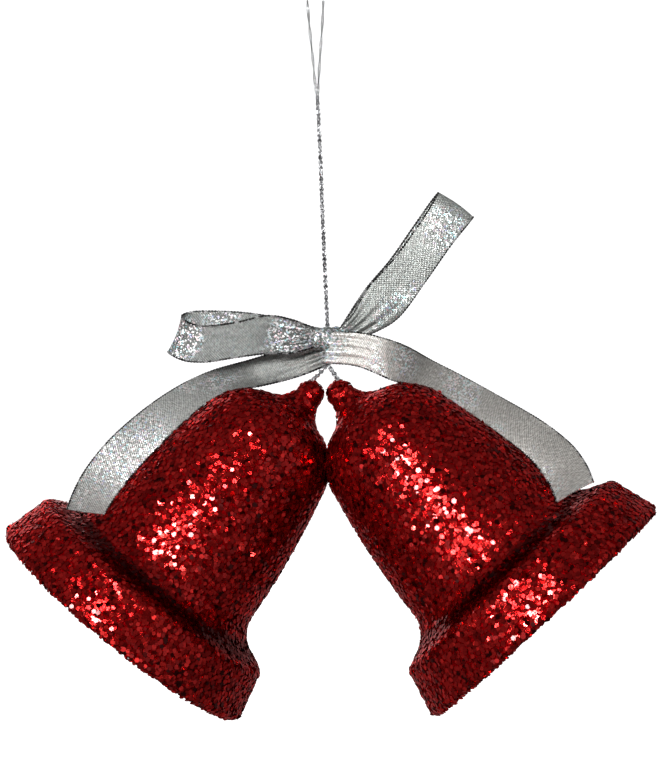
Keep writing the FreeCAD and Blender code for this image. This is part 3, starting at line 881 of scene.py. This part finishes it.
def ripple(turns, stations, amount):
    """Low uneven swellings over a turned surface."""
    total = np.zeros(np.broadcast(turns, stations).shape)
    for _ in range(RIPPLE_WAVES):
        around, along = rng.integers(*WAVES_AROUND), rng.uniform(*WAVES_ALONG)
        swell = np.sin(around * turns + rng.uniform(0, WAVE_PHASE))
        total += swell * np.sin(along * stations + rng.uniform(0, WAVE_PHASE))
    return total * amount / math.sqrt(RIPPLE_WAVES)


def turned_surface(side, line, unevenness):
    """A surface turned from a line, with low unevenness, as a grid of points."""
    facing = outline_normals(line)
    depth, turn = np.meshgrid(line[:, 1], full_turn(BELL_TURNS), indexing="ij")
    bumps = ripple(turn, depth, unevenness)
    radius = np.maximum(line[:, :1] + facing[:, :1] * bumps, 0.0)
    depth = depth + facing[:, 1:] * bumps
    return bell_place(side, depth, radius, turn)


def bell_body(side):
    """The moulded bell: a hollow body, lacquered outside and painted inside."""
    outer = BELL_LINE - outline_normals(BELL_LINE) * COAT_DEPTH
    outer[0, 0] = 0.0
    inner = outline(HOLLOW)[1:]
    inner[:, 1] = np.minimum(inner[:, 1], BELL_HEIGHT - COAT_DEPTH)
    skins = ((outer[1:], OUTER_UNEVENNESS), (inner[:-1], INNER_UNEVENNESS))
    points = np.concatenate([turned_surface(side, line, amount) for line, amount in skins])
    poles = [bell_place(side, station, 0.0, 0.0) for station in (outer[0, 1], inner[-1, 1])]
    rows = len(points)
    faces = list(grid_faces(rows, BELL_TURNS, wrap_columns=True))
    top = rows * BELL_TURNS
    faces += [(top, i, (i + 1) % BELL_TURNS) for i in range(BELL_TURNS)]
    start = top - BELL_TURNS
    faces += [(top + 1, start + (i + 1) % BELL_TURNS, start + i) for i in range(BELL_TURNS)]
    build = Builder()
    build.add(np.concatenate([points.reshape(-1, 3), poles]), faces)
    mesh = build.mesh(f"{side}_bell_body")
    finish_mesh(mesh, BED, f"{side}_bell", f"{side}_bell_shell")
    mesh.materials.append(FOAM)
    split = len(outer) - 1
    index = np.zeros(len(mesh.polygons), np.int32)
    index[split * BELL_TURNS : (rows - 1) * BELL_TURNS] = 1
    index[-BELL_TURNS:] = 1
    mesh.polygons.foreach_set("material_index", index)


# ---- clappers


def clapper(side):
    """The clapper's cord, its glittered bead, and the knot under the bead."""
    axis, outward, _ = bell_directions(side)
    lean = math.radians(CLAPPER_LEAN)
    way = axis * math.cos(lean) - outward * math.sin(lean)
    pivot = bell_place(side, STOPPER_DEPTH + STOPPER_RADIUS + STRAND_RADIUS, 0.0, 0.0)
    body = f"{side}_clapper"
    cord = Builder()
    end = pivot + way * (CLAPPER_LENGTH + CLAPPER_OVERLAP)
    add_rope(cord, straight(pivot, end), STRAND_RADIUS, STRAND_TWIST)
    cord_piece(f"{side}_clapper_rope", cord, body, f"{side}_clapper_cord")
    clapper_bead(side, pivot + way * (CLAPPER_LENGTH - BEAD_RADIUS), way, body)
    knot = Builder()
    place = pivot + way * (CLAPPER_LENGTH + STRAND_RADIUS + END_KNOT_RADIUS)
    add_knot(knot, place, END_KNOT_RADIUS, END_KNOT_CORD, way)
    cord_piece(f"{side}_end_knot", knot, body, f"{side}_clapper_end_knot")


def clapper_bead(side, centre, way, body):
    """A bored bead, slightly out of round, with flakes over it."""
    first, second = (part[0] for part in carried_frames(np.array([centre, centre + way])))
    open_angle = math.asin(BEAD_BORE / BEAD_RADIUS)
    latitude = np.linspace(open_angle, math.pi - open_angle, BEAD_ROWS)
    lat, around = np.meshgrid(latitude, full_turn(BEAD_TURNS), indexing="ij")
    radius = BEAD_RADIUS - BEAD_COAT + ripple(around, lat * BEAD_WAVES, BEAD_UNEVENNESS)
    spoke = turned(first, second, around)
    shell = centre + (radius * np.sin(lat))[..., None] * spoke + (radius * np.cos(lat))[..., None] * way
    build = Builder()
    build.add(shell, grid_faces(BEAD_ROWS, BEAD_TURNS, True, True)[:, ::-1])
    stands_for = f"{side}_clapper_bead"
    finish_mesh(build.mesh(f"{side}_bead_body"), BEAD, body, stands_for)
    normals = spread_directions(way, first, second, BEAD_FLAKES, math.cos(open_angle * BEAD_BARE))
    centres = centre + normals * (BEAD_RADIUS - BEAD_FLAKE_DEPTH)
    glitter(f"{side}_bead_glitter", centres, normals, body, stands_for, BEAD_FLAKE_RADIUS, "bead")


def spread_directions(way, first, second, count, limit):
    """Directions spread evenly over a ball, without those whose part along the way is past the limit."""
    height = 1 - 2 * (np.arange(count) + 0.5) / count
    golden = np.arange(count) * math.pi * (3 - math.sqrt(5))
    ring = np.sqrt(1 - height**2)
    directions = height[:, None] * way + ring[:, None] * turned(first, second, golden)
    return directions[np.abs(height) < limit]


# ---- ribbon


def strip_points(lower, upper, rows, pleat, bulge):
    """The middle surface of a strip between two edges. pleat and bulge hold one number for each row."""
    lower, upper = spline(lower, rows), spline(upper, rows)
    v = np.linspace(0, 1, RIBBON_COLUMNS)
    across = upper - lower
    along = tangents((lower + upper) / 2)
    facing = unit(np.cross(along, unit(across)))
    flat = lower[:, None] + across[:, None] * v[None, :, None]
    wave = np.sin(2 * math.pi * PLEATS * v)[None] * pleat[:, None]
    dome = 4 * (v * (1 - v))[None] * bulge[:, None]
    return flat + facing[:, None] * (wave + dome)[..., None]


def folded_strip(lower, upper, length, folds, gathered):
    """A strip of ribbon between two edges, pleated where its ends are gathered, and bulging unevenly."""
    pleat, reach, bulge, wave, change = folds
    rows = int(length / RIBBON_ROW)
    gather = near_ends(rows, length, reach, gathered)
    return strip_points(lower, upper, rows, pleat * gather, bulge + wander(rows, length, wave, change))


def cloth_layout(mesh, u, v):
    """Give a ribbon its cloth layout: u along it and v across it, for each vertex of one of its faces."""
    layer = mesh.uv_layers.new(name="cloth")
    loops = np.zeros(len(mesh.loops), np.int32)
    mesh.loops.foreach_get("vertex_index", loops)
    place = np.stack([u, v], axis=1)[loops % len(u)]
    layer.data.foreach_set("uv", place.astype(np.float32).ravel())


def surface_normals(points):
    """Directions square to a grid of points."""
    return unit(np.cross(np.gradient(points, axis=0), np.gradient(points, axis=1)))


def ribbon_piece(name, points, material, body, stands_for, start=0.0):
    """A closed strip of ribbon round its middle surface, and a corded selvage along each edge.

    start is how far along the whole ribbon the strip begins.
    """
    rows, columns = points.shape[:2]
    facing = surface_normals(points) * RIBBON_THICKNESS / 2
    build = Builder()
    size = rows * columns
    top = grid_faces(rows, columns)
    border = border_loop(rows, columns)
    sides = [(b, a, a + size, b + size) for a, b in zip(border, np.roll(border, -1))]
    build.add([points + facing, points - facing], [*top, *(top[:, ::-1] + size), *sides])
    mesh = build.mesh(name)
    u = start + np.repeat(lengths_along(points[:, columns // 2]), columns)
    v = np.tile(np.linspace(0, RIBBON_WIDTH, columns), rows)
    cloth_layout(mesh, u, v)
    finish_mesh(mesh, material, body, stands_for, smooth_angle=60.0)
    selvage(f"{name}_selvage", (points[:, 0], points[:, -1]), body, stands_for)


def border_loop(rows, columns):
    """The indices round the border of a grid, in order."""
    first = np.arange(columns)
    right = np.arange(1, rows) * columns + columns - 1
    last = (rows - 1) * columns + np.arange(columns - 2, -1, -1)
    left = np.arange(rows - 2, 0, -1) * columns
    return np.concatenate([first, right, last, left])


def selvage(name, edges, body, stands_for):
    """The corded thread along both edges of a ribbon."""
    build = Builder()
    for edge in edges:
        length = lengths_along(edge)
        even = np.arange(0, length[-1], SELVAGE_STEP)
        radius = SELVAGE_RADIUS * (1 + SELVAGE_RELIEF * np.sin(even * 2 * math.pi / SELVAGE_BEAD))
        add_tube(build, places_along(edge, length, even), radius, sides=6)
    finish_mesh(build.mesh(name), SELVAGE, body, stands_for)


# edges of each bow loop, from the knot along the front, round the fold, and back along the rear
LEFT_LOOP_LOWER = (
    (1.0, -1.6, -99.0), (-5.9, -2.6, -100.8), (-11.5, -3.2, -100.9), (-19.4, -3.6, -101.9),
    (-27.0, -3.3, -103.0), (-32.6, -2.2, -102.6), (-36.6, 0.0, -100.4), (-33.0, 1.3, -100.2),
    (-24.0, 1.5, -100.6), (-14.0, 1.2, -100.4), (1.0, 1.2, -99.0),
)
LEFT_LOOP_UPPER = (
    (1.0, -1.6, -95.0), (-5.9, -2.4, -92.4), (-11.5, -2.6, -91.5), (-19.4, -3.0, -93.2),
    (-27.0, -2.8, -94.1), (-31.0, -2.0, -93.4), (-33.2, 0.0, -91.5), (-31.0, 1.4, -90.5),
    (-24.0, 1.8, -90.3), (-14.0, 1.6, -91.1), (1.0, 1.3, -94.6),
)
RIGHT_LOOP_LOWER = (
    (8.0, -0.8, -98.0), (15.3, -0.9, -95.4), (20.7, -1.6, -92.1), (27.6, -2.8, -83.0),
    (34.0, -3.0, -73.9), (38.4, -1.6, -68.4), (39.6, 0.0, -66.8), (38.0, 1.8, -68.8),
    (33.4, 2.5, -74.2), (26.9, 2.8, -83.2), (19.6, 2.2, -91.2), (8.0, 1.2, -97.6),
)
RIGHT_LOOP_UPPER = (
    (6.4, -1.0, -94.8), (9.6, -1.6, -91.2), (13.4, -2.4, -84.7), (19.8, -3.2, -77.4),
    (26.0, -3.0, -69.0), (30.0, -1.6, -62.6), (31.0, 0.0, -60.7), (29.6, 1.8, -62.3),
    (24.6, 2.5, -69.4), (19.0, 2.8, -77.4), (12.8, 2.4, -84.8), (6.4, 1.2, -94.6),
)
LOOP_EDGES = {"left": (LEFT_LOOP_LOWER, LEFT_LOOP_UPPER), "right": (RIGHT_LOOP_LOWER, RIGHT_LOOP_UPPER)}


def near_ends(count, length, reach, gathered):
    """One at each gathered end of a strip, falling away over a reach in millimetres."""
    place = np.linspace(0, length, count)
    first = np.exp(-place / reach) if gathered[0] else 0 * place
    last = np.exp(-(length - place) / reach) if gathered[1] else 0 * place
    return first + last


def bow_loop(side):
    """A flattened loop of ribbon with its layers gathered into the knot."""
    lower, upper = LOOP_EDGES[side]
    length = lengths_along(np.array(lower))[-1]
    points = folded_strip(lower, upper, length, LOOP_FOLDS, (True, True))
    ribbon_piece(f"{side}_loop_ribbon", points, RIBBON[f"{side}_loop"], "bow", f"bow_{side}_loop")


# the first places of each tail between the knot and the bell: (lower edge, upper edge)
TAIL_ROOTS = {
    "left": (
        ((4.2, 1.7, -103.3), (2.6, 1.7, -96.6)),
        ((-3.6, 3.1, -106.4), (-4.6, 4.1, -98.6)),
        ((-13.1, 1.6, -108.9), (-14.8, 5.0, -102.0)),
    ),
    "right": (
        ((2.2, -2.2, -103.2), (4.6, -2.6, -95.6)),
        ((10.6, -4.0, -104.0), (12.0, -5.0, -96.0)),
        ((19.6, -3.4, -107.6), (20.6, -3.8, -98.3)),
    ),
}
# where each tail rests on its bell: station, degrees round to the front, degrees it leans back,
# and degrees it dips
TAIL_RESTS = {
    "left": (
        (15.8, -9.0, 42.0, 0.0),
        (21.8, -2.0, 37.0, 0.0),
        (31.8, 13.0, 23.0, 0.0),
        (41.8, 21.0, 5.0, 5.0),
        (46.5, 23.5, -1.0, 11.0),
        (50.8, 26.5, -6.0, 17.0),
        (54.5, 30.0, -13.0, 24.0),
        (57.8, 34.0, -22.0, 31.0),
    ),
    "right": (
        (15.8, -8.0, 34.0, 0.0),
        (21.8, -8.0, 33.0, 0.0),
        (31.8, -2.0, 27.0, 0.0),
        (41.8, 8.0, 18.0, 0.0),
        (46.5, 13.0, 13.0, 1.0),
        (50.8, 20.0, 8.0, 3.0),
        (55.5, 30.0, 3.0, 6.0),
        (59.8, 44.0, 0.0, 4.0),
    ),
}
TAIL_CLEARANCE = 0.12


def tail_edges(side):
    """The lower and upper edges of a tail, from the knot to its cut end."""
    _, outward, back = bell_directions(side)
    lower, upper = (list(edge) for edge in zip(*TAIL_ROOTS[side]))
    stations, forward, leans, dips = np.array(TAIL_RESTS[side]).T
    places = bell_place(side, stations, bell_radius(stations) + TAIL_CLEARANCE, -np.radians(forward))
    along = tangents(places)
    for place, direction, lean, dip in zip(places, along, np.radians(leans), np.radians(dips)):
        up = outward * math.cos(lean) + back * math.sin(lean)
        across = unit(up - direction * (up @ direction))
        lower.append(place)
        upper.append(place + (across * math.cos(dip) + direction * math.sin(dip)) * RIBBON_WIDTH)
    return np.array(lower), np.array(upper)


def tail(side):
    """A tail of the bow: a gathered root, and the long part that follows the bell."""
    lower, upper = tail_edges(side)
    length = lengths_along((lower + upper) / 2)[-1]
    points = folded_strip(lower, upper, length, TAIL_FOLDS, (True, False))
    middle = points[:, RIBBON_COLUMNS // 2]
    seam_place = (lower[1] + upper[1]) / 2
    seam = int(np.argmin(np.linalg.norm(middle - seam_place, axis=1)))
    free = (lower[2] + upper[2]) / 2
    root_body = ("bow", f"{side}_leg", middle[0], middle[seam])
    tail_body = (f"{side}_leg", f"{side}_tail", middle[seam], free)
    material = RIBBON[f"{side}_tail"]
    root_length = lengths_along(middle)[seam]
    ribbon_piece(f"{side}_root_ribbon", points[: seam + 1], material, root_body, f"{side}_tail_root")
    ribbon_piece(f"{side}_tail_ribbon", points[seam:], material, tail_body, f"{side}_tail", root_length)


def bow_wrap():
    """The ribbon pulled tight round the middle of the bow, creased along its length."""
    width = np.linspace(-WRAP_HALF_WIDTH, WRAP_HALF_WIDTH, WRAP_COLUMNS)
    turn = full_turn(WRAP_ROWS)
    crease = CREASE_DEPTH * np.abs(np.sin(width * CREASE_TURNS + CREASE_DRIFT * np.sin(width)))
    barrel = WRAP_BARREL * (1 - (width / WRAP_HALF_WIDTH) ** 2)
    edge_roll = -ROLL_DEPTH * smooth((np.abs(width) - WRAP_HALF_WIDTH + ROLL_REACH) / ROLL_REACH)
    radius = WRAP_RADIUS + crease + barrel + edge_roll
    around = np.sin(turn * SWAY_ROUND + SWAY_STARTS[0])[:, None]
    sway = WRAP_SWAY * around * np.sin(width * SWAY_ALONG + SWAY_STARTS[1])[None]
    spread = radius[None] + SWAY_OUTWARD * sway
    across = WRAP_SHIFT + width[None] + sway
    back = spread * np.sin(turn)[:, None] * WRAP_DEPTH
    up = spread * np.cos(turn)[:, None]
    outer = np.stack([across, back, up], axis=-1)
    inner = outer * (1.0, WRAP_INSIDE, WRAP_INSIDE)
    shell = WRAP_CENTRE + np.concatenate([outer, inner[:, ::-1]], axis=1)
    build = Builder()
    build.add(shell, grid_faces(WRAP_ROWS, 2 * WRAP_COLUMNS, True, True)[:, ::-1])
    mesh = build.mesh("bow_wrap_ribbon")
    u = np.repeat(turn * WRAP_CLOTH_RADIUS, 2 * WRAP_COLUMNS)
    v = np.tile(np.concatenate([width, width[::-1] + WRAP_INSIDE_CLOTH]), WRAP_ROWS)
    cloth_layout(mesh, u, v)
    finish_mesh(mesh, RIBBON["wrap"], "bow", "bow_knot", smooth_angle=60.0)


# ---- stage


def stage_object(name, data):
    """A new object that belongs to the stage, not to the ornament."""
    thing = bpy.data.objects.new(name, data)
    bpy.context.scene.collection.objects.link(thing)
    return thing


def area_light(name, place, size, power):
    """A soft square light aimed at the middle of the view."""
    data = bpy.data.lights.new(name, "AREA")
    data.size = size
    data.energy = power
    light = stage_object(name, data)
    light.location = place
    light.rotation_euler = (Vector(VIEW_CENTRE) - Vector(place)).to_track_quat("-Z", "Y").to_euler()


def backdrop():
    """A pale floor that curves up behind the ornament."""
    level = np.linspace(SHEET_FRONT, SHEET_BEND, LEVEL_POINTS)
    curve = np.linspace(0, math.pi / 2, CURVE_POINTS)[1:]
    depth = np.concatenate([level, SHEET_BEND + SHEET_RADIUS * np.sin(curve), [SHEET_BEND + SHEET_RADIUS]])
    rise = np.concatenate([np.zeros(len(level)), SHEET_RADIUS * (1 - np.cos(curve)), [SHEET_TOP]])
    points = [(x, y, FLOOR + z) for y, z in zip(depth, rise) for x in (-SHEET_HALF_WIDTH, SHEET_HALF_WIDTH)]
    mesh = bpy.data.meshes.new("backdrop")
    mesh.from_pydata(points, [], grid_faces(len(depth), 2)[:, ::-1].tolist())
    mesh.shade_smooth()
    n = material_nodes("backdrop_paper")
    paper = n.ramp(n.noise(n.place(), per_mm=0.002), (0.3, grey(0.86)), (0.7, grey(0.88)))
    paint = n.surface(Base_Color=paper, Roughness=0.9, Emission_Color=paper, Emission_Strength=1.0)
    mesh.materials.append(paint)
    sheet = stage_object("backdrop", mesh)
    sheet.visible_glossy = False
    sheet.visible_diffuse = False


def room():
    """The room: it lights the ornament unevenly, by ROOM_LIGHT, and looks plain white to the camera."""
    n = Nodes(bpy.data.worlds.new("room"), "Background")
    way = n.add("ShaderNodeTexCoord").outputs["Generated"]
    depth = n.add("ShaderNodeSeparateXYZ", {0: way}).outputs["Y"]
    place = n.add("ShaderNodeMapRange", {"Value": depth, "From Min": -1.0}).outputs[0]
    light = n.ramp(place, *(((direction + 1) / 2, grey(level)) for direction, level in ROOM_LIGHT))
    looking = n.add("ShaderNodeLightPath").outputs["Is Camera Ray"]
    strength = n.add("ShaderNodeMix", {0: looking, 2: light, 3: 1.0}).outputs[0]
    bpy.context.scene.world = n.surface(Color=(1, 1, 1, 1), Strength=strength)


def studio():
    """Soft studio light, a dim room, and the camera."""
    for light in LIGHTS:
        area_light(*light)
    room()
    bpy.context.scene.view_settings.view_transform = "Standard"
    data = bpy.data.cameras.new("camera")
    data.lens = CAMERA_LENS
    data.sensor_width = SENSOR_WIDTH
    camera = stage_object("camera", data)
    camera.location = (VIEW_CENTRE[0], -CAMERA_DISTANCE, VIEW_CENTRE[2])
    camera.rotation_euler = (math.pi / 2, 0, 0)
    bpy.context.scene.camera = camera


# ---- build


hanging_cord()
cord_knot()
bow_wrap()
for each_side in SIDES:
    bow_loop(each_side)
    tail(each_side)
    leg_cord(each_side)
    crown_cord(each_side)
    bell_body(each_side)
    bell_glitter(each_side)
    clapper(each_side)
backdrop()
studio()
